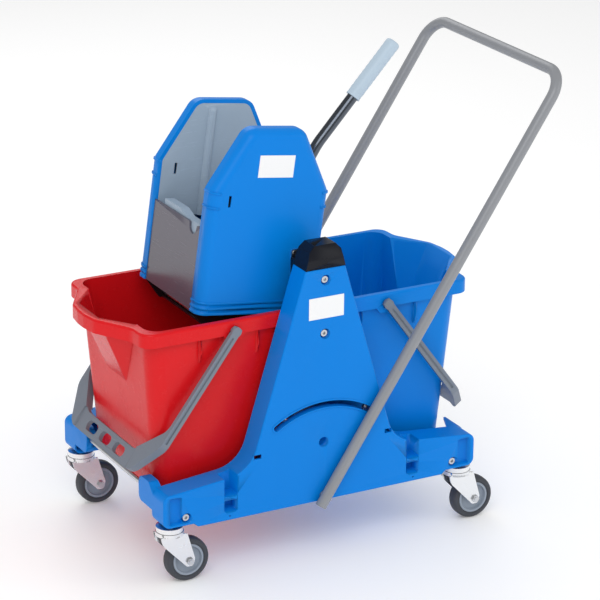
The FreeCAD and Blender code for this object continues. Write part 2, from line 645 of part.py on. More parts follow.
def bucket():
    """Blue bucket: tapered body, pouring spout and an inverted-U rim with a hub for the bail on each side."""
    under_rim = RIM_TOP - RIM_THICK
    top_span = (RIM_INNER_X + 9, BUCKET_TOP_X)
    top_half = RIM_HALF_Y - 9

    def body(shrink, low, high):
        wires = []
        for level, x_span, half in ((BUCKET_BOTTOM, BUCKET_FOOT_X, BUCKET_FOOT_HALF_Y), (RIM_TOP, top_span, top_half)):
            plan = rounded_plan((x_span[0] + shrink, x_span[1] - shrink), half - shrink, BUCKET_CORNER_R - shrink)
            wires.append(rounded_wire(plan, lambda p, z=level: Vector(p.x, p.y, z)))
        loft = Part.makeLoft(wires, True, True)
        return loft.common(box((-50, 500), (-300, 300), (low, high)))

    outer = body(0, BUCKET_BOTTOM, RIM_TOP).fuse(spout_wedge(0, RIM_TOP))
    outer = outer.makeFillet(6, [e for e in edges_at_z(outer, BUCKET_BOTTOM)])
    rim = prism_z(rim_plan(), RIM_TOP - RIM_SKIRT, RIM_TOP)
    rim = rim.makeFillet(4.5, edges_at_z(rim, RIM_TOP))
    channel = prism_z(inset(rim_plan(), BUCKET_WALL), RIM_TOP - RIM_SKIRT - 1, under_rim)
    rim = rim.cut(channel)
    parts = [outer, rim]
    for side in (-1, 1):
        skirt = [(BAIL_PIVOT_X - 22, RIM_TOP - RIM_SKIRT + 2, 0), (BAIL_PIVOT_X + 22, RIM_TOP - RIM_SKIRT + 2, 0),
                 (BAIL_PIVOT_X + 13, BAIL_PIVOT_Z - 17, 3), (BAIL_PIVOT_X - 13, BAIL_PIVOT_Z - 17, 3)]
        inner_face = RIM_HALF_Y - BUCKET_WALL
        parts.append(prism_y(skirt, side * inner_face, side * RIM_HALF_Y))
        hub_in = RIM_HALF_Y - 18
        parts.append(rod(BAIL_PIN_R + 4, Vector(BAIL_PIVOT_X, side * hub_in, BAIL_PIVOT_Z),
                         Vector(BAIL_PIVOT_X, side * RIM_HALF_Y, BAIL_PIVOT_Z)))
        for rib_x in (102, 212):
            rib = [(side * (top_half - 6), 378, 0), (side * (inner_face - 4), 384, 0), (side * inner_face, 400, 0),
                   (side * inner_face, under_rim + 1, 0), (side * (top_half - 6), under_rim + 1, 0)]
            parts.append(prism_x(rib, rib_x - 1.4, rib_x + 1.4))
    shell = fuse(parts)
    cavity = body(BUCKET_WALL, BUCKET_BOTTOM + BUCKET_WALL, RIM_TOP + 1)
    lid = rounded_plan((top_span[0] + BUCKET_WALL, top_span[1] - BUCKET_WALL), top_half - BUCKET_WALL,
                       BUCKET_CORNER_R - BUCKET_WALL)
    mouth = prism_z(lid, RIM_TOP - 0.5, RIM_TOP + 2)
    cuts = [cavity, mouth, spout_wedge(-BUCKET_WALL, RIM_TOP + 0.01)]
    bores = [rod(BAIL_PIN_R + BOLT_FIT, Vector(BAIL_PIVOT_X, side * (RIM_HALF_Y - 9), BAIL_PIVOT_Z),
                 Vector(BAIL_PIVOT_X, side * (RIM_HALF_Y + 1), BAIL_PIVOT_Z)) for side in (-1, 1)]
    return shell.cut(cuts + bores).removeSplitter()


def bail():
    """Blue bucket's carrying bail, flat in its own plane and hung from the rim's hubs."""
    leg_in = RIM_HALF_Y + BAIL_GAP
    leg_out = leg_in + BAIL_LEG_W
    grip_in, grip_out = BAIL_REACH - BAIL_BAND / 2, BAIL_REACH + BAIL_BAND / 2
    outer = [(leg_out, 8, 3), (leg_out, -grip_out + 66, 30), (118, -grip_out, 34)]
    inner = [(98, -grip_in, 30), (leg_in, -grip_in + 60, 30), (leg_in, 8, 3)]
    outline = outer + [(-a, b, r) for a, b, r in reversed(outer)]
    outline += [(-a, b, r) for a, b, r in reversed(inner)] + inner
    # drawn hanging straight down, across the trolley at x = 0
    slab = prism_x(outline, -BAIL_LEG_T / 2, BAIL_LEG_T / 2)
    thin = box((-BAIL_LEG_T, BAIL_LEG_T), (-108, 108), (-grip_out - 5, -grip_in + 5))
    band = slab.common(thin).common(box((-4, 4), (-400, 400), (-400, 400)))
    slab = slab.cut(thin).fuse(band)
    slots = []
    for index in (-1, 0, 1):
        middle = index * 55.0
        corners = [(middle - 20, -BAIL_REACH - 9.5, 9), (middle + 20, -BAIL_REACH - 9.5, 9),
                   (middle + 20, -BAIL_REACH + 9.5, 9), (middle - 20, -BAIL_REACH + 9.5, 9)]
        slots.append(prism_x(corners, -20, 20))
    groove_half = 1.8
    grooves = [box((-groove_half, groove_half), (side * (leg_out - 2.5), side * (leg_out + 1)), (-grip_out + 76, -12))
               for side in (-1, 1)]
    slab = slab.cut(slots + grooves)
    pins = [rod(BAIL_PIN_R, Vector(0, side * (leg_in + 1), 0), Vector(0, side * (RIM_HALF_Y - 8), 0)) for side in (-1, 1)]
    eyes = [rod(BAIL_LEG_T / 2 + 1.5, Vector(0, side * leg_in, 0), Vector(0, side * leg_out, 0)) for side in (-1, 1)]
    whole = fuse([slab] + pins + eyes)
    whole.rotate(ORIGIN, ACROSS, -BAIL_LEAN)
    whole.translate(Vector(BAIL_PIVOT_X, 0, BAIL_PIVOT_Z))
    return whole


def buckets():
    blue = bucket()
    store("blue_bucket", blue)
    store("red_bucket", mirror_x(blue))
    blue_bail = bail()
    store("blue_bail", blue_bail)
    store("red_bail", mirror_x(blue_bail))


# ---------------------------------------------------------------- wringer
def house_outline(bottom):
    """Front view of a housing in the wringer's own frame."""
    return both_sides([(HOUSE_HALF, bottom, 18), (HOUSE_HALF, HOUSE_SHOULDER, 18), (HOUSE_TOP_HALF, HOUSE_TOP, 26)])


def relief():
    """Space over the buckets' inner rims and the cross tube that every fixed wringer piece keeps clear of."""
    return box((RELIEF_X, 200), (-200, 200), (300, RELIEF_Z))


def housing():
    """Front housing, drawn upright: a deep dished cover, open towards the jaws."""
    open_y, face_y = -HOUSE_Y[0], -HOUSE_Y[1]
    below = -60.0

    def dished(grow, edge_r):
        solid = prism_y(inset(house_outline(below), -grow), face_y - grow, open_y)
        solid = solid.makeFillet(edge_r, edges_at_y(solid, face_y - grow))
        return solid.common(box((-200, 200), (-200, 0), (0, 400)))

    cover = dished(0, HOUSE_EDGE_R)
    proud = dished(RIDGE_RISE, HOUSE_EDGE_R)
    bands = [proud.common(box((-200, 200), (-200, 0), span)) for span in ((0, 4), (9.5, 13.5), (19, 23))]
    for side in (-1, 1):
        x_span = sorted((side * (HOUSE_HALF - 16), side * (HOUSE_HALF + 3)))
        bands += [proud.common(box(x_span, (-200, 0), span)) for span in ((188, 191), (214, 217))]
    cover = fuse([cover] + bands)
    inner = prism_y(inset(house_outline(0), HOUSE_WALL), face_y + HOUSE_WALL, open_y - MOUTH_FLANGE)
    inner = inner.makeFillet(HOUSE_EDGE_R - HOUSE_WALL, edges_at_y(inner, face_y + HOUSE_WALL))
    mouth = prism_y(inset(house_outline(below), LINER_INSET), open_y - MOUTH_FLANGE - 1, open_y + 1)
    cover = cover.cut([inner, mouth])
    u, w = SHAFT_UW
    bearing = rod(SHAFT_R + 6, Vector(u, face_y + HOUSE_WALL - 1, w), Vector(u, face_y + 18, w))
    ribs = [box((rib_u - 1.2, rib_u + 1.2), (face_y + 2, open_y - 6), (2, top)) for rib_u, top in ((-40, 316), (20, 318))]
    cover = fuse([cover, bearing] + ribs)
    bore = rod(SHAFT_R + BOLT_FIT, Vector(u, face_y + HOUSE_WALL, w), Vector(u, open_y, w))
    slot = box((-82.5, -77.5), (face_y - 3, open_y), (192, 212))
    return tilted(cover.cut([bore, slot])).cut(relief())


def liner():
    """Front liner, drawn upright: a flat wall with a half-round rib, guide slots and a chamfered foot."""
    inner_y = -HOUSE_Y[0]
    back_y = inner_y - LINER_THICK
    half = HOUSE_HALF - 2
    upper = prism_y(inset(house_outline(-60), LINER_INSET + 0.2), back_y, inner_y)
    foot = prism_y([(-half, -0.2, 0), (-half + 31, -LINER_DROP, 4), (45, -LINER_DROP, 4), (half, -0.2, 0)], back_y, inner_y)
    plate = upper.common(box((-200, 200), (-200, 0), (-10, 400))).common(
        fuse([box((-200, 200), (-200, 0), (-0.2, 400)), foot])).fuse(foot)
    rib_u, rib_low, rib_high, rib_r = -20.5, 86.0, 306.0, 8.5
    rib = rod(rib_r, Vector(rib_u, back_y + 1, rib_low), Vector(rib_u, back_y + 1, rib_high))
    ends = [Part.makeSphere(rib_r, Vector(rib_u, back_y + 1, w)) for w in (rib_low, rib_high)]
    rib = fuse([rib] + ends).common(box((-200, 200), (back_y, 0), (-100, 400)))
    u, w = SHAFT_UW
    cuts = [rod(SHAFT_R + 3, Vector(u, back_y - 1, w), Vector(u, inner_y + 1, w)),
            box((-82.5, -77.5), (back_y - 1, inner_y + 1), (192, 212))]
    for guide_w in (30.0, 112.0):
        left, right = JAW_REST + 8 - JAW_TRAVEL - 6, JAW_REST + 8 + 6
        corners = [(left, guide_w - 5.4, 5.3), (right, guide_w - 5.4, 5.3), (right, guide_w + 5.4, 5.3), (left, guide_w + 5.4, 5.3)]
        cuts.append(prism_y(corners, back_y - 1, inner_y + rib_r + 1))
    return tilted(plate.fuse(rib).cut(cuts)).cut(relief())


def perforated(plate, spots, radius, axis, length):
    """Plate with round drain holes along an axis."""
    return plate.cut([rod(radius, spot - axis * length, spot + axis * length) for spot in spots])


def wringer_fixed():
    front_housing, front_liner = housing(), liner()
    store("front_wringer_housing", front_housing)
    store("rear_wringer_housing", mirror_y(front_housing))
    store("front_liner", front_liner)
    store("rear_liner", mirror_y(front_liner))

    half = HOUSE_Y[0]
    left = -HOUSE_HALF + 1.5
    wall = prism_x([(-half, 0, 0), (half, 0, 0), (half, END_WALL_TOP, 1), (-47, END_WALL_TOP, 3), (-50, END_WALL_TOP - 18, 12),
                    (-72, END_WALL_TOP - 18, 12), (-75, END_WALL_TOP, 3), (-half, END_WALL_TOP, 1)], left, left + END_WALL)
    store("end_wall", tilted(wall))

    top = END_WALL_TOP + 10
    counter = prism_x([(-82, 6, 2), (82, 6, 2), (82, top - 18, 2), (59, top - 18, 2), (59, top, 2), (0, top, 14),
                       (-26, top - 8, 14), (-82, top - 8, 2)], left + END_WALL, left + END_WALL + COUNTER_THICK)
    inside = prism_x([(-78, 10, 2), (78, 10, 2), (78, top - 30, 2), (-78, top - 30, 2)],
                     left + END_WALL - 1, left + END_WALL + COUNTER_THICK - 4)
    counter = counter.cut(inside)
    spots = [Vector(left + END_WALL + COUNTER_THICK, -60 + 24 * i, 28 + 20 * j) for i in range(6) for j in range(5)]
    store("counter_plate", tilted(perforated(counter, spots, 4, ALONG, 5)))

    floor_w = -LINER_DROP + 2
    floor = box((-78, 38), (-half, half), (floor_w, floor_w + 3))
    spots = [Vector(-64 + 18 * i, -72 + 24 * j, floor_w) for i in range(6) for j in range(7)]
    store("sieve_floor", tilted(perforated(floor, spots, 5, UP, 5)))

    rods = [rod(4, Vector(u, -half, w), Vector(u, half, w)) for u, w in ((42, 205), (-70, floor_w + 7), (30, floor_w + 7))]
    store("tie_rods", tilted(group(rods)))

    # hanger plates: they carry the trunnions and straddle the tube low between the towers
    x, z = TRUNNION_AT
    plate_y = -HOUSE_Y[1] - HANGER_THICK
    flange_y = plate_y - 3
    leg = TOWER_TUBE_R + SEAT_GAP + HANGER_LEG_W
    tube_z = TOWER_TUBE_Z[0]
    plate = prism_y(both_sides([(leg, tube_z - 14, 2), (leg, 478, 20), (22, 494, 20), (22, z + 25, 5)]), plate_y, -HOUSE_Y[1])
    fork_half = TOWER_TUBE_R + SEAT_GAP
    fork_top = Vector(0, plate_y - 1, tube_z)
    gap = box((-fork_half, fork_half), (plate_y - 1, -HOUSE_Y[1] + 1), (tube_z - 20, tube_z))
    plate = plate.cut([gap, rod(fork_half, fork_top, fork_top + ACROSS * (HANGER_THICK + 2)),
                       rod(TRUNNION_R, Vector(x, plate_y - 1, z), Vector(x, -HOUSE_Y[1] + 1, z))])
    rivets = [rod(4, Vector(side * 16, plate_y - 1.5, level), Vector(side * 16, plate_y + 1, level))
              for side in (-1, 1) for level in (z - 20, z + 19)]
    store("hanger_plates", group(pair_y(fuse([plate] + rivets))))
    journal = rod(TRUNNION_R, Vector(x, -HOUSE_Y[1], z), Vector(x, -FRAME_INNER_Y + 4, z))
    flange = rod(TRUNNION_FLANGE_R, Vector(x, plate_y, z), Vector(x, flange_y, z))
    store("wringer_trunnions", group(pair_y(journal.fuse(flange))))

    u, w = SHAFT_UW
    bush = ring(SHAFT_R + 3, SHAFT_R + BOLT_FIT, Vector(u, -half - LINER_THICK - 8, w), Vector(u, -half + 1, w))
    store("shaft_bushes", tilted(group(pair_y(bush))))

    label_w, label_h, label_t = LABEL
    face = -HOUSE_Y[1]
    label = box((1.8 - label_w / 2, 1.8 + label_w / 2), (face - label_t, face), (244, 244 + label_h))
    store("wringer_label", tilted(label))


def press_jaw():
    """Moving jaw with its back ribs, guide pins and the two yokes that the crank rollers work in."""
    back = JAW_REST + JAW_THICK
    plate = prism_x([(-JAW_HALF, -22, 6), (JAW_HALF, -22, 6), (JAW_HALF, JAW_TOP, 14), (-JAW_HALF, JAW_TOP, 14)], JAW_REST, back)
    spots = [Vector(back, -66 + 22 * i, -2 + 22 * j) for i in range(7) for j in range(7)]
    plate = perforated(plate, spots, 4, ALONG, 8)
    ribs = [box((back - 1, back + 8), (-JAW_HALF + 4, JAW_HALF - 4), (w - 1.5, w + 1.5)) for w in (9, 53, 97, 141)]
    ribs += [box((back - 1, back + 8), (y - 1.5, y + 1.5), (-18, JAW_TOP - 6)) for y in (-77, 0, 77)]
    half = HOUSE_Y[0] + LINER_THICK
    pins = []
    for guide_w in (30.0, 112.0):
        for side in (-1, 1):
            pins.append(rod(5, Vector(JAW_REST + 8, side * (JAW_HALF - 6), guide_w),
                            Vector(JAW_REST + 8, side * (half + 2), guide_w)))
    store("press_jaw", tilted(fuse([plate] + ribs + pins)))

    u, w = SHAFT_UW
    roller_u = u + CRANK_R * sin(radians(CRANK_REST))
    roller_w = w - CRANK_R * cos(radians(CRANK_REST))
    slot_half = ROLLER_R + ROLLER_PLAY
    yokes = []
    for side in (-1, 1):
        outline = [(back + 8, 30, 0), (roller_u + slot_half + 6, 44, 6), (roller_u + slot_half + 6, 96, 6), (back + 8, 120, 0)]
        y_span = (side * 38, side * 46)
        yoke = prism_y(outline, *y_span)
        slot = [(roller_u - slot_half, roller_w - 14, 6), (roller_u + slot_half, roller_w - 14, 6),
                (roller_u + slot_half, roller_w + 18, 6), (roller_u - slot_half, roller_w + 18, 6)]
        window = [(back + 22, 56, 6), (roller_u - slot_half - 12, 58, 6), (roller_u - slot_half - 12, 84, 6), (back + 22, 96, 6)]
        yokes.append(yoke.cut([prism_y(slot, side * 36, side * 48), prism_y(window, side * 36, side * 48)]))
    store("jaw_yokes", tilted(group(yokes)))


def lever():
    u, w = SHAFT_UW
    shaft_half = HOUSE_Y[1] - HOUSE_WALL - 0.5
    shaft = rod(SHAFT_R, Vector(u, -shaft_half, w), Vector(u, shaft_half, w))
    hub = ring(SHAFT_R + 8, SHAFT_R, Vector(u, -15, w), Vector(u, 15, w))
    store("lever_shaft", tilted(shaft))

    roller_u = u + CRANK_R * sin(radians(CRANK_REST))
    roller_w = w - CRANK_R * cos(radians(CRANK_REST))
    angle = atan2(roller_w - w, roller_u - u)
    cranks, rollers = [], []
    for side in (-1, 1):
        y_in, y_out = side * 50, side * 57
        start, end = Vector(u, y_in, w), Vector(roller_u, y_in, roller_w)
        depth = Vector(0, y_out - y_in, 0)
        normal = Vector(-sin(angle), 0, cos(angle))
        web = Part.Face(Part.makePolygon([start + normal * 13, end + normal * 9, end - normal * 9,
                                          start - normal * 13, start + normal * 13])).extrude(depth)
        crank = fuse([web, rod(SHAFT_R + 6, start, start + depth), rod(9, end, end + depth)])
        crank = crank.cut([rod(SHAFT_R, start, start + depth), rod(3, end, end + depth)])
        cranks.append(crank)
        roller_in, roller_out = Vector(roller_u, side * 38, roller_w), Vector(roller_u, side * 46, roller_w)
        rollers.append(rod(ROLLER_R, roller_in, roller_out).fuse(rod(3, roller_out, Vector(roller_u, y_out, roller_w))))
    store("lever_cranks", tilted(group(cranks)))
    store("crank_rollers", tilted(group(rollers)))

    springs = [ring(SHAFT_R + 5, SHAFT_R + 1.5, Vector(u, side * 18, w), Vector(u, side * 46, w)) for side in (-1, 1)]
    store("return_springs", tilted(group(springs)))

    x, z = from_tilted(u, w)
    low, high = (radians(value) for value in LEVER_LEAN)
    below = Vector(sin(low), 0, cos(low))
    above = Vector(sin(high), 0, cos(high))
    start = Vector(x, 0, z) + below * (SHAFT_R + 5)
    bend = Vector(x, 0, z) + below * LEVER_BEND_AT
    end = bend + above * LEVER_TOP
    tube = bent_tube([start, bend, end - above * 4], 120, LEVER_R, LEVER_WALL)
    tube = tube.cut(rod(SHAFT_R + 8, Vector(x, -15, z), Vector(x, 15, z)))
    store("lever_tube", tube)
    store("lever_hub", tilted(hub))
    grip_start = end - above * GRIP_LENGTH
    grip = rod(GRIP_R, grip_start, end)
    grip = grip.makeFillet(4, [edge for edge in grip.Edges if edge.Curve.TypeId == "Part::GeomCircle"])
    store("lever_grip", grip.cut(rod(LEVER_R, grip_start - above, end - above * 4)))


# ---------------------------------------------------------------- the whole trolley
def build():
    for across_name, y in (("front", -SWIVEL_Y), ("rear", SWIVEL_Y)):
        for along_name, x in (("left", -SWIVEL_X), ("right", SWIVEL_X)):
            caster(across_name + "_" + along_name, x, y)
    chassis()
    push_handle()
    buckets()
    wringer_fixed()
    press_jaw()
    lever()


build()
os.makedirs("parts", exist_ok=True)
for node, shape in STORED.items():
    if not shape.isValid() or shape.Volume <= 0:
        raise ValueError(node + " is not a valid solid")
    shape.exportStep(os.path.join("parts", node + ".step"))
print(len(STORED), "nodes; origin moved by", round(SHIFT.x, 3), "along X")
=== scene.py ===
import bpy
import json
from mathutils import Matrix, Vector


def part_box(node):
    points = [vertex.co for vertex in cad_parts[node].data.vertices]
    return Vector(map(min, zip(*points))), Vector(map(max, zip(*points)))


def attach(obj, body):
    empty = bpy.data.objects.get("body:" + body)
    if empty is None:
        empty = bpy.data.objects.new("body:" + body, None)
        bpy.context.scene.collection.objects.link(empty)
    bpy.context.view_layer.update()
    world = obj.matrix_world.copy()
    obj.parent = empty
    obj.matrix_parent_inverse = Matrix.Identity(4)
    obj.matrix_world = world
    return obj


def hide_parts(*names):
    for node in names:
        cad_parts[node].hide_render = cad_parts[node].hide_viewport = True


bl_info = {
    "name": "Mopping Trolley",
    "version": (1, 0, 0),
    "blender": (4, 5, 0),
    "location": "View3D > Sidebar > Trolley",
    "description": "Two-bucket mopping trolley with a lever wringer, built around its measured frame",
    "category": "Object",
}

import json
from math import cos, pi, radians, sin

import bpy
from bpy.props import FloatProperty, FloatVectorProperty, PointerProperty
from mathutils import Matrix, Vector

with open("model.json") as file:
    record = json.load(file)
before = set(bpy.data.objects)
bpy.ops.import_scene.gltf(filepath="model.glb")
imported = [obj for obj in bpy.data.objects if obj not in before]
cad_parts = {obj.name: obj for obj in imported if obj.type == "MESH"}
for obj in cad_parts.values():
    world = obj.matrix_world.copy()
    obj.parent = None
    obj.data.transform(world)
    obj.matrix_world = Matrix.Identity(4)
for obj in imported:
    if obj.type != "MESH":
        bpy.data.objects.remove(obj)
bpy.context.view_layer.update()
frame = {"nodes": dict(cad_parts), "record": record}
MM = 0.001
WELD = 0.00001            # points nearer than this are one point
LEVER_BEND_AT = 162.0     # millimetres from the shaft to the bend
LEVER_TOP = 226.0         # millimetres from the bend to the end of the grip
LEVER_LEAN = (32.9, 42.3)  # degrees from upright, below and above the bend
GRIP_LENGTH = 123.0
SPRING_START = 18.0       # a spring's inner end, from the middle of the shaft
SPRING_LENGTH = 28.0
WRINGER_TILT = 7.7        # degrees
WRINGER_FOOT = (-0.1403, 0.4397)
SHELLS = ["red_bucket", "blue_bucket", "red_bail", "blue_bail", "front_side_frame", "rear_side_frame", "front_wringer_housing",
          "rear_wringer_housing", "front_tower_cap", "rear_tower_cap", "push_handle_tube", "lever_tube", "press_jaw",
          "fork_front_left", "fork_front_right", "fork_rear_left", "fork_rear_right", "front_liner", "rear_liner", "end_wall"]


# ---------------------------------------------------------------- sizes and colours
def colour(name, description, default):
    return FloatVectorProperty(name=name, description=description, default=default, size=3, subtype="COLOR", min=0, max=1)


class TrolleyColours(bpy.types.PropertyGroup):
    """Colours of the trolley's plastics, paint and metals."""

    blue: colour("Blue plastic", "Side frames, wringer housings and clean-water bucket", (0.0, 0.212, 0.71))
    red: colour("Red plastic", "Dirty-water bucket", (0.70, 0.008, 0.012))
    bail_grey: colour("Bail grey", "Carrying bails of both buckets", (0.19, 0.22, 0.265))
    liner_grey: colour("Liner grey", "Inner walls of the wringer", (0.33, 0.42, 0.52))
    wall_grey: colour("End wall grey", "Glossy end wall of the wringer", (0.105, 0.098, 0.13))
    # painted shade: a near-black colour for the wringer's lowest part, standing in for the shadow inside the red
    # bucket
    foot_painted_shade: colour("Foot black", "Lowest part of the wringer, inside the red bucket", (0.018, 0.012, 0.015))
    cap_black: colour("Cap black", "Caps on the two towers", (0.006, 0.007, 0.012))
    handle_grey: colour("Handle paint", "Powder coat of the push handle", (0.28, 0.29, 0.31))
    grip_grey: colour("Grip grey", "Grip on the wringer lever", (0.47, 0.58, 0.68))
    rubber: colour("Tyre rubber", "Treads of the four wheels", (0.045, 0.05, 0.062))
    core_grey: colour("Wheel grey", "Cores of the four wheels", (0.29, 0.335, 0.40))
    label: colour("Label white", "The two blank labels", (0.86, 0.87, 0.88))
    backdrop: colour("Floor", "Studio floor and backdrop", (0.93, 0.93, 0.93))


class TrolleySizes(bpy.types.PropertyGroup):
    """Sizes of the surface details."""

    grain: FloatProperty(name="Mould grain", description="Size of the fine texture on moulded plastic",
                         default=0.0011, subtype="DISTANCE", unit="LENGTH", min=0.0002)


# ---------------------------------------------------------------- shader maths
class Wave:
    """One output in a material's tree; arithmetic on it adds Math nodes."""

    def __init__(self, paint, socket):
        self.paint = paint
        self.socket = socket

    def _maths(self, operation, *values):
        return self.paint.add("ShaderNodeMath", {"operation": operation}, dict(enumerate(values)))

    def __add__(self, other):
        return self._maths("ADD", self, other)

    def __sub__(self, other):
        return self._maths("SUBTRACT", self, other)

    def __mul__(self, other):
        return self._maths("MULTIPLY", self, other)

    def __gt__(self, other):
        return self._maths("GREATER_THAN", self, other)

    def __lt__(self, other):
        return self._maths("LESS_THAN", self, other)

    __radd__ = __add__
    __rmul__ = __mul__


class Paint:
    """A material being mixed on one Principled shader."""

    def __init__(self, name, **constants):
        self.material = bpy.data.materials.new(name)
        self.material.use_nodes = True
        self.tree = self.material.node_tree
        self.shader = self.tree.nodes["Principled BSDF"]
        for key, value in constants.items():
            self.shader.inputs[key.replace("_", " ")].default_value = value
        self.place = self.add("ShaderNodeTexCoord", {}, {}, "Object")

    def add(self, kind, settings, sockets, output=0):
        """Adds a node: its settings first, then the values or links of its sockets."""
        node = self.tree.nodes.new(kind)
        for key, value in settings.items():
            setattr(node, key, value)
        for key, value in sockets.items():
            if isinstance(value, Wave):
                self.tree.links.new(value.socket, node.inputs[key])
            else:
                node.inputs[key].default_value = value
        return Wave(self, node.outputs[output])

    def feed(self, **links):
        for key, value in links.items():
            self.tree.links.new(value.socket, self.shader.inputs[key.replace("_", " ")])
        return self.material

    def stretched(self, scale):
        return self.add("ShaderNodeMapping", {}, {"Vector": self.place, "Scale": scale})

    def cloud(self, size, detail=3.0, rough=0.55, stretch=(1, 1, 1)):
        """Smooth random value, about 0.5, whose blobs are about the given size in metres."""
        where = self.stretched(stretch) if stretch != (1, 1, 1) else self.place
        return self.add("ShaderNodeTexNoise", {}, {"Vector": where, "Scale": 1 / size, "Detail": detail, "Roughness": rough})

    def blend(self, factor, first, second):
        return self.add("ShaderNodeMix", {"data_type": "RGBA"}, {0: factor, 6: first, 7: second}, 2)

    def shade(self, factor, base, spread):
        """Base colour made darker and lighter by a spread, as the factor goes from 0 to 1."""
        dark = (*[value * (1 - spread) for value in base], 1)
        light = (*[min(value * (1 + spread), 1) for value in base], 1)
        return self.blend(factor, dark, light)

    def bump(self, height, depth, strength=1.0):
        return self.add("ShaderNodeBump", {}, {"Height": height, "Distance": depth, "Strength": strength})


def moulded_plastic(name, base, roughness=0.34, spread=0.05, shine=0.3, depth=0.00003):
    """Injection-moulded plastic: faint flow marks, uneven gloss and a fine eroded grain."""
    grain = bpy.context.scene.trolley_sizes.grain
    paint = Paint(name, Specular_IOR_Level=shine, IOR=1.49)
    flow = paint.cloud(0.09, 2.0, 0.5, (1, 1, 0.35))
    speck = paint.cloud(grain, 2.0)
    haze = paint.cloud(0.02, 4.0)
    return paint.feed(Base_Color=paint.shade(flow, base, spread),
                      Roughness=haze * 0.12 + (roughness - 0.06) + (speck - 0.5) * 0.06,
                      Normal=paint.bump(speck, depth))


def worn_plastic_with_painted_shade(name, base, dark, roughness, shine):
    """Wringer plastic: fine level scuffs from mops, and painted shade: a darker foot below the housings, where the
    inside of the red bucket lies in shadow.
    """
    grain = bpy.context.scene.trolley_sizes.grain
    paint = Paint(name, Specular_IOR_Level=shine, IOR=1.49)
    x, z = (paint.add("ShaderNodeSeparateXYZ", {}, {"Vector": paint.place}, axis) for axis in (0, 2))
    lean = radians(WRINGER_TILT)
    height = (x - WRINGER_FOOT[0]) * sin(lean) + (z - WRINGER_FOOT[1]) * cos(lean)
    # painted shade: everything below the tilted line through WRINGER_FOOT is marked as the foot, which stands for the
    # shadow inside the red bucket
    foot = height < -0.0005
    lines = paint.cloud(0.0011, 2.0, 0.5, (0.03, 0.03, 1))
    patch = paint.cloud(0.05, 3.0)
    scuffs = (lines > 0.66) * (patch > 0.5)
    speck = paint.cloud(grain, 2.0)
    tone = paint.shade(patch, base, 0.05)
    pale = (*[min(value * 1.22 + 0.01, 1) for value in base], 1)
    marked = paint.blend(scuffs * 0.55, tone, pale)
    # painted shade: the scuffed colour gives way to the dark foot colour under the foot mask
    return paint.feed(Base_Color=paint.blend(foot, marked, (*dark, 1)),
                      Roughness=patch * 0.12 + (roughness - 0.06) + scuffs * 0.1,
                      Normal=paint.bump(speck - scuffs * 0.5, 0.00002))


def powder_coat(name, base):
    """Powder-coated tube with a soft orange peel."""
    paint = Paint(name, Specular_IOR_Level=0.4, Metallic=0.1)
    peel = paint.cloud(0.0022, 1.5)
    tone = paint.cloud(0.12)
    return paint.feed(Base_Color=paint.shade(tone, base, 0.05), Roughness=peel * 0.1 + 0.3, Normal=paint.bump(peel, 0.00006))


def metal(name, base, roughness, spread=0.06, streak=(1, 1, 1), fine=0.0009):
    """Bare or plated metal with uneven lustre and fine streaks along the stretched axis."""
    paint = Paint(name, Metallic=1.0)
    cloud = paint.cloud(0.014, 4.0)
    streaks = paint.cloud(fine, 2.0, 0.6, streak)
    return paint.feed(Base_Color=paint.shade(cloud, base, spread),
                      Roughness=cloud * 0.16 + streaks * 0.1 + (roughness - 0.13),
                      Normal=paint.bump(streaks, 0.00001))


def rubber_finish(name, base):
    """Moulded tyre rubber: matt, dusty in patches, with a fine grain."""
    paint = Paint(name, IOR=1.5)
    dust = paint.cloud(0.012, 5.0, 0.65)
    grain = paint.cloud(0.0007, 2.0)
    return paint.feed(Base_Color=paint.shade(dust, base, 0.16), Roughness=dust * 0.2 + 0.5, Normal=paint.bump(grain, 0.00003))


def label_finish(name, base):
    """Blank white film with a faint print screen and a soft gloss."""
    paint = Paint(name, Coat_Weight=0.4, Coat_Roughness=0.12)
    paper = paint.cloud(0.004, 3.0)
    return paint.feed(Base_Color=paint.shade(paper, base, 0.02), Roughness=paper * 0.1 + 0.3, Normal=paint.bump(paper, 0.00001))


FINISHES = {}


def mix_finishes():
    """Mixes one material for each finish of the record."""
    c = bpy.context.scene.trolley_colours
    FINISHES.update({
        "blue_plastic": moulded_plastic("blue moulded plastic", c.blue, 0.34, 0.04, 0.16),
        "red_plastic": moulded_plastic("red moulded plastic", c.red, 0.26, 0.06, 0.22),
        "bail_plastic": moulded_plastic("bail grey plastic", c.bail_grey, 0.42),
        # both wringer plastics carry painted shade: their lowest part is blended to the dark foot colour
        "liner_plastic": worn_plastic_with_painted_shade("liner grey plastic", c.liner_grey, c.foot_painted_shade, 0.4, 0.3),
        "end_wall_plastic": worn_plastic_with_painted_shade("glossy grey plastic", c.wall_grey, c.foot_painted_shade, 0.2, 0.7),
        "jaw_plastic": moulded_plastic("jaw grey plastic", c.liner_grey, 0.4),
        "cap_plastic": moulded_plastic("black cap plastic", c.cap_black, 0.3, 0.1, 0.22),
        "handle_paint": powder_coat("grey powder coat", c.handle_grey),
        "lever_chrome": metal("dark chrome", (0.11, 0.125, 0.15), 0.2, 0.05, (1, 1, 0.1)),
        "grip_plastic": moulded_plastic("pale grip plastic", c.grip_grey, 0.36, 0.03, 0.25),
        "zinc": metal("bright zinc plate", (0.86, 0.87, 0.88), 0.24, 0.03, (1, 0.2, 0.2)),
        "steel": metal("drawn steel", (0.62, 0.63, 0.65), 0.3, 0.08, (1, 0.1, 1)),
        "wheel_plastic": moulded_plastic("wheel core plastic", c.core_grey, 0.4),
        "tyre_rubber": rubber_finish("tyre rubber", c.rubber),
        "label_white": label_finish("blank label film", c.label),
    })


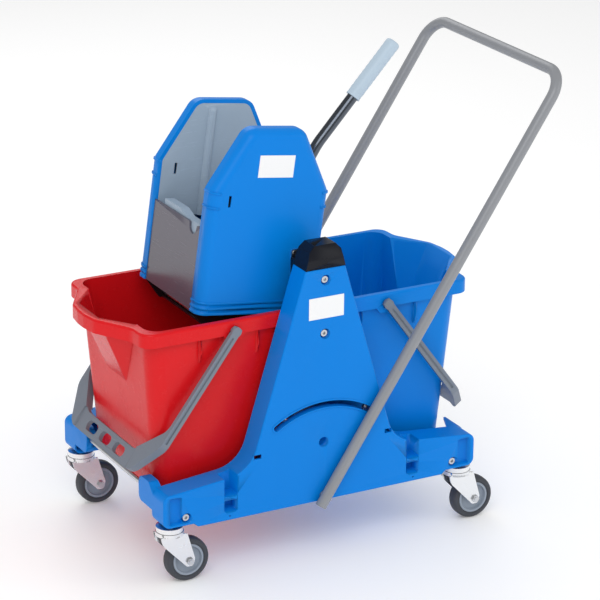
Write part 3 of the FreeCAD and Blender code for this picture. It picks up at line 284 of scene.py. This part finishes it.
# ---------------------------------------------------------------- modelling
HOME = {node: body for body, nodes in frame["record"]["behaviour"]["bodies"].items() for node in nodes}
SLOTS = {part["node"]: part["material_slot"] for part in frame["record"]["subparts"]}


def middle(node):
    """Centre of a carried-over node."""
    low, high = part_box(node)
    return (Vector(low) + Vector(high)) / 2


def pick(piece):
    """Makes a piece the only one selected."""
    bpy.ops.object.select_all(action="DESELECT")
    piece.select_set(True)
    bpy.context.view_layer.objects.active = piece


def start_line(points):
    """Draws a line through the points, in edit mode, with its last point selected."""
    bpy.ops.object.select_all(action="DESELECT")
    bpy.ops.mesh.primitive_plane_add(size=MM, location=points[0])
    bpy.ops.object.mode_set(mode="EDIT")
    bpy.ops.mesh.merge(type="CENTER")
    for here, there in zip(points, points[1:]):
        bpy.ops.mesh.extrude_vertices_move(TRANSFORM_OT_translate={"value": Vector(there) - Vector(here)})


def tidy_mesh():
    """Merges doubled points, turns faces outwards and leaves edit mode."""
    bpy.ops.mesh.select_all(action="SELECT")
    bpy.ops.mesh.remove_doubles(threshold=WELD)
    bpy.ops.mesh.normals_make_consistent(inside=False)
    bpy.ops.object.mode_set(mode="OBJECT")


def turned(profile, steps=72):
    """A closed profile of (along, radius) in millimetres, turned round the Z axis."""
    line = [Vector((radius * MM, 0, along * MM)) for along, radius in profile]
    start_line(line + [line[0]])
    bpy.ops.mesh.select_all(action="SELECT")
    bpy.ops.mesh.spin(steps=steps, angle=2 * pi, center=(0, 0, 0), axis=(0, 0, 1))
    tidy_mesh()
    bpy.ops.object.transform_apply(location=True, rotation=True, scale=True)
    return bpy.context.object


def copy_of(piece):
    """A copy with its own mesh."""
    twin = bpy.data.objects.new(piece.name, piece.data.copy())
    bpy.context.collection.objects.link(twin)
    return twin


def put(piece, place, along=(0, 0, 1)):
    """Stands a piece at its place with its Z axis along a direction, and keeps that in its mesh."""
    pick(piece)
    turn = Vector((0, 0, 1)).rotation_difference(Vector(along)).to_matrix().to_4x4()
    piece.matrix_world = Matrix.Translation(place) @ turn
    bpy.ops.object.transform_apply(location=True, rotation=True, scale=True)


def stand_for(piece, node, angle=32):
    """Gives a finished piece soft shading and its finish, and puts it in place of a carried-over node."""
    pick(piece)
    piece.name = node + "_made"
    bpy.ops.object.shade_smooth_by_angle(angle=radians(angle))
    even = piece.modifiers.new("even shading", "WEIGHTED_NORMAL")
    even.keep_sharp = True
    even.mode = "FACE_AREA_WITH_ANGLE"
    bpy.ops.object.modifier_apply(modifier=even.name)
    piece.data.materials.clear()
    piece.data.materials.append(FINISHES[SLOTS[node]])
    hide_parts(node)
    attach(piece, HOME[node])


# ---------------------------------------------------------------- operators
class TROLLEY_OT_finishes(bpy.types.Operator):
    """Mixes the materials and lays them on the carried-over pieces."""

    bl_idname = "trolley.finishes"
    bl_label = "Finishes"

    def execute(self, context):
        mix_finishes()
        for part in frame["record"]["subparts"]:
            node = frame["nodes"][part["node"]]
            node.data.materials.clear()
            node.data.materials.append(FINISHES[part["material_slot"]])
        return {"FINISHED"}


CORNERS = ("front_left", "front_right", "rear_left", "rear_right")


class TROLLEY_OT_tyres(bpy.types.Operator):
    """Soft tyres with rounded shoulders, a step at the rim and a moulding line round the tread."""

    bl_idname = "trolley.tyres"
    bl_label = "Tyres"

    def execute(self, context):
        half = [(-8.0, 28.9), (-10.6, 29.3), (-10.9, 30.6), (-11.7, 31.2), (-12.0, 33.2), (-11.7, 35.4), (-10.7, 37.4),
                (-9.1, 38.9), (-6.8, 39.7), (-3.5, 39.85), (-0.5, 39.85), (-0.25, 40.0)]
        tyre = turned(half + [(-along, radius) for along, radius in reversed(half)])
        for corner in CORNERS:
            twin = copy_of(tyre)
            put(twin, middle("tyre_" + corner), (0, 1, 0))
            stand_for(twin, "tyre_" + corner)
        bpy.data.objects.remove(tyre)
        return {"FINISHED"}


class TROLLEY_OT_wheel_cores(bpy.types.Operator):
    """Dished wheel cores: a raised rim, a thin web and a round hub."""

    bl_idname = "trolley.wheel_cores"
    bl_label = "Wheel cores"

    def execute(self, context):
        half = [(-14.0, 4.2), (-14.0, 9.0), (-13.2, 9.8), (-6.2, 10.6), (-5.2, 12.0), (-4.8, 20.5), (-5.6, 23.6), (-8.6, 24.4),
                (-10.9, 24.9), (-11.3, 25.5), (-11.3, 27.9), (-10.9, 28.5), (-10.2, 29.0)]
        core = turned(half + [(-along, radius) for along, radius in reversed(half)])
        for corner in CORNERS:
            twin = copy_of(core)
            put(twin, middle("wheel_core_" + corner), (0, 1, 0))
            stand_for(twin, "wheel_core_" + corner)
        bpy.data.objects.remove(core)
        return {"FINISHED"}


class TROLLEY_OT_grip(bpy.types.Operator):
    """Sleeve grip with a rolled lower lip, shallow waves and a rounded end."""

    bl_idname = "trolley.grip"
    bl_label = "Lever grip"

    def execute(self, context):
        low, high = radians(LEVER_LEAN[0]), radians(LEVER_LEAN[1])
        above = Vector((sin(high), 0, cos(high)))
        bend = middle("lever_hub") + Vector((sin(low), 0, cos(low))) * LEVER_BEND_AT * MM
        end = bend + above * LEVER_TOP * MM
        outer = [(0.0, 11.2), (0.0, 12.9), (0.6, 13.6), (2.2, 13.7), (3.4, 13.2), (5.0, 13.0)]
        outer += [(5.0 + step * 5.4, 13.35 + 0.25 * cos(step * pi)) for step in range(1, 21)]
        outer += [(116.5, 13.4), (119.5, 12.9), (121.6, 11.6), (122.7, 9.0), (GRIP_LENGTH, 5.0), (GRIP_LENGTH, 0.0)]
        sleeve = turned(outer + [(119.2, 0.0), (119.2, 10.2), (0.6, 10.2)], 64)
        put(sleeve, end - above * GRIP_LENGTH * MM, above)
        stand_for(sleeve, "lever_grip", 50)
        return {"FINISHED"}


class TROLLEY_OT_springs(bpy.types.Operator):
    """The two return springs, wound from round wire on the lever's shaft."""

    bl_idname = "trolley.springs"
    bl_label = "Return springs"

    def execute(self, context):
        turns, wire, winding = 9, 1.25, 11.0
        bpy.ops.object.select_all(action="DESELECT")
        bpy.ops.mesh.primitive_circle_add(vertices=10, radius=wire * MM, fill_type="NGON", rotation=(pi / 2, 0, 0))
        coil = bpy.context.object
        bpy.ops.object.transform_apply(location=True, rotation=True, scale=True)
        bpy.ops.object.mode_set(mode="EDIT")
        bpy.ops.mesh.select_all(action="SELECT")
        bpy.ops.transform.translate(value=(winding * MM, 0, 0))
        bpy.ops.object.mode_set(mode="OBJECT")
        winder = coil.modifiers.new("winding", "SCREW")
        winder.axis, winder.steps, winder.render_steps, winder.iterations = "Z", 24, 24, turns
        winder.screw_offset = (SPRING_LENGTH - 2 * wire) / turns * MM
        winder.use_merge_vertices = False
        bpy.ops.object.modifier_apply(modifier=winder.name)
        bpy.ops.object.mode_set(mode="EDIT")
        tidy_mesh()
        twin = copy_of(coil)
        hub = middle("lever_hub")
        for piece, start in ((coil, SPRING_START + wire), (twin, wire - SPRING_START - SPRING_LENGTH)):
            put(piece, hub + Vector((0, start * MM, 0)), (0, 1, 0))
        pick(coil)
        twin.select_set(True)
        bpy.ops.object.join()
        stand_for(coil, "return_springs", 60)
        return {"FINISHED"}


class TROLLEY_OT_shells(bpy.types.Operator):
    """Welded copies of the curved plastic and metal pieces, shaded evenly over their rounds and flats."""

    bl_idname = "trolley.shells"
    bl_label = "Smooth shells"

    def execute(self, context):
        for node in SHELLS:
            shell = copy_of(frame["nodes"][node])
            pick(shell)
            bpy.ops.object.mode_set(mode="EDIT")
            bpy.ops.mesh.select_all(action="SELECT")
            bpy.ops.mesh.remove_doubles(threshold=WELD)
            bpy.ops.object.mode_set(mode="OBJECT")
            stand_for(shell, node)
        return {"FINISHED"}


class TROLLEY_OT_stage(bpy.types.Operator):
    """Floor, soft studio lights and the camera."""

    bl_idname = "trolley.stage"
    bl_label = "Stage"

    def execute(self, context):
        bpy.ops.object.select_all(action="DESELECT")
        bpy.ops.mesh.primitive_plane_add(size=40)
        floor = context.object
        floor.name = "studio_floor"
        paint = Paint("studio floor", Emission_Color=(1, 1, 1, 1), Emission_Strength=0.13, Specular_IOR_Level=0.2)
        tone = paint.cloud(1.5)
        paint.feed(Base_Color=paint.shade(tone, context.scene.trolley_colours.backdrop, 0.005), Roughness=tone * 0.1 + 0.5)
        floor.data.materials.append(paint.material)

        world = bpy.data.worlds.new("studio")
        world.use_nodes = True
        nodes, links = world.node_tree.nodes, world.node_tree.links
        light = nodes["Background"]
        light.inputs["Color"].default_value = (1, 1, 1, 1)
        path = nodes.new("ShaderNodeLightPath")
        dimmer = nodes.new("ShaderNodeMath")
        dimmer.operation = "MULTIPLY_ADD"
        dimmer.inputs[1].default_value = -0.42
        dimmer.inputs[2].default_value = 0.76
        links.new(path.outputs["Is Glossy Ray"], dimmer.inputs[0])
        seen = nodes.new("ShaderNodeMath")
        seen.operation = "MULTIPLY_ADD"
        seen.inputs[1].default_value = 0.3
        links.new(path.outputs["Is Camera Ray"], seen.inputs[0])
        links.new(dimmer.outputs[0], seen.inputs[2])
        links.new(seen.outputs[0], light.inputs["Strength"])
        context.scene.world = world
        aim = Vector((0, 0, 0.4))
        for name, place, size, power in (("key", (-1.6, -2.6, 3.0), 2.2, 42), ("fill", (2.8, -2.2, 1.6), 2.0, 14),
                                         ("rim", (0.6, 2.8, 2.6), 2.0, 22)):
            lamp = bpy.data.lights.new(name, "AREA")
            lamp.size, lamp.energy = size, power
            light = bpy.data.objects.new(name, lamp)
            light.location = place
            light.rotation_euler = (aim - Vector(place)).to_track_quat("-Z", "Y").to_euler()
            context.collection.objects.link(light)

        lens = bpy.data.cameras.new("camera")
        lens.sensor_width, lens.lens = 36, 172.55
        lens.clip_end = 50
        yaw, pitch, roll, distance = radians(-28.61), radians(20.26), radians(0.58), 5.142
        back = Vector((sin(yaw) * cos(pitch), -cos(yaw) * cos(pitch), sin(pitch)))
        right = Vector((cos(yaw), sin(yaw), 0))
        up = back.cross(right)
        turned_right = right * cos(roll) + up * sin(roll)
        turned_up = up * cos(roll) - right * sin(roll)
        target = Vector((0.0099, 0, 0.4002))
        camera = bpy.data.objects.new("camera", lens)
        axes = Matrix((turned_right, turned_up, back)).transposed().to_4x4()
        camera.matrix_world = Matrix.Translation(target + back * distance) @ axes
        context.collection.objects.link(camera)
        context.scene.camera = camera
        context.scene.view_settings.view_transform = "Standard"
        return {"FINISHED"}


class TROLLEY_PT_panel(bpy.types.Panel):
    """Lists the trolley's colours, sizes and operators."""

    bl_label = "Mopping Trolley"
    bl_idname = "TROLLEY_PT_panel"
    bl_space_type = "VIEW_3D"
    bl_region_type = "UI"
    bl_category = "Trolley"

    def draw(self, context):
        for group in (context.scene.trolley_colours, context.scene.trolley_sizes):
            for key in group.bl_rna.properties.keys():
                if key not in ("rna_type", "name"):
                    self.layout.prop(group, key)
        for operator in OPERATORS:
            self.layout.operator(operator.bl_idname)


OPERATORS = [TROLLEY_OT_finishes, TROLLEY_OT_tyres, TROLLEY_OT_wheel_cores, TROLLEY_OT_grip, TROLLEY_OT_springs,
             TROLLEY_OT_shells, TROLLEY_OT_stage]
CLASSES = [TrolleyColours, TrolleySizes, *OPERATORS, TROLLEY_PT_panel]


def register():
    for cls in CLASSES:
        bpy.utils.register_class(cls)
    bpy.types.Scene.trolley_colours = PointerProperty(type=TrolleyColours)
    bpy.types.Scene.trolley_sizes = PointerProperty(type=TrolleySizes)


def unregister():
    del bpy.types.Scene.trolley_sizes
    del bpy.types.Scene.trolley_colours
    for cls in reversed(CLASSES):
        bpy.utils.unregister_class(cls)


def main():
    register()
    for operator in OPERATORS:
        group, name = operator.bl_idname.split(".")
        getattr(getattr(bpy.ops, group), name)()


if __name__ == "__main__":
    main()
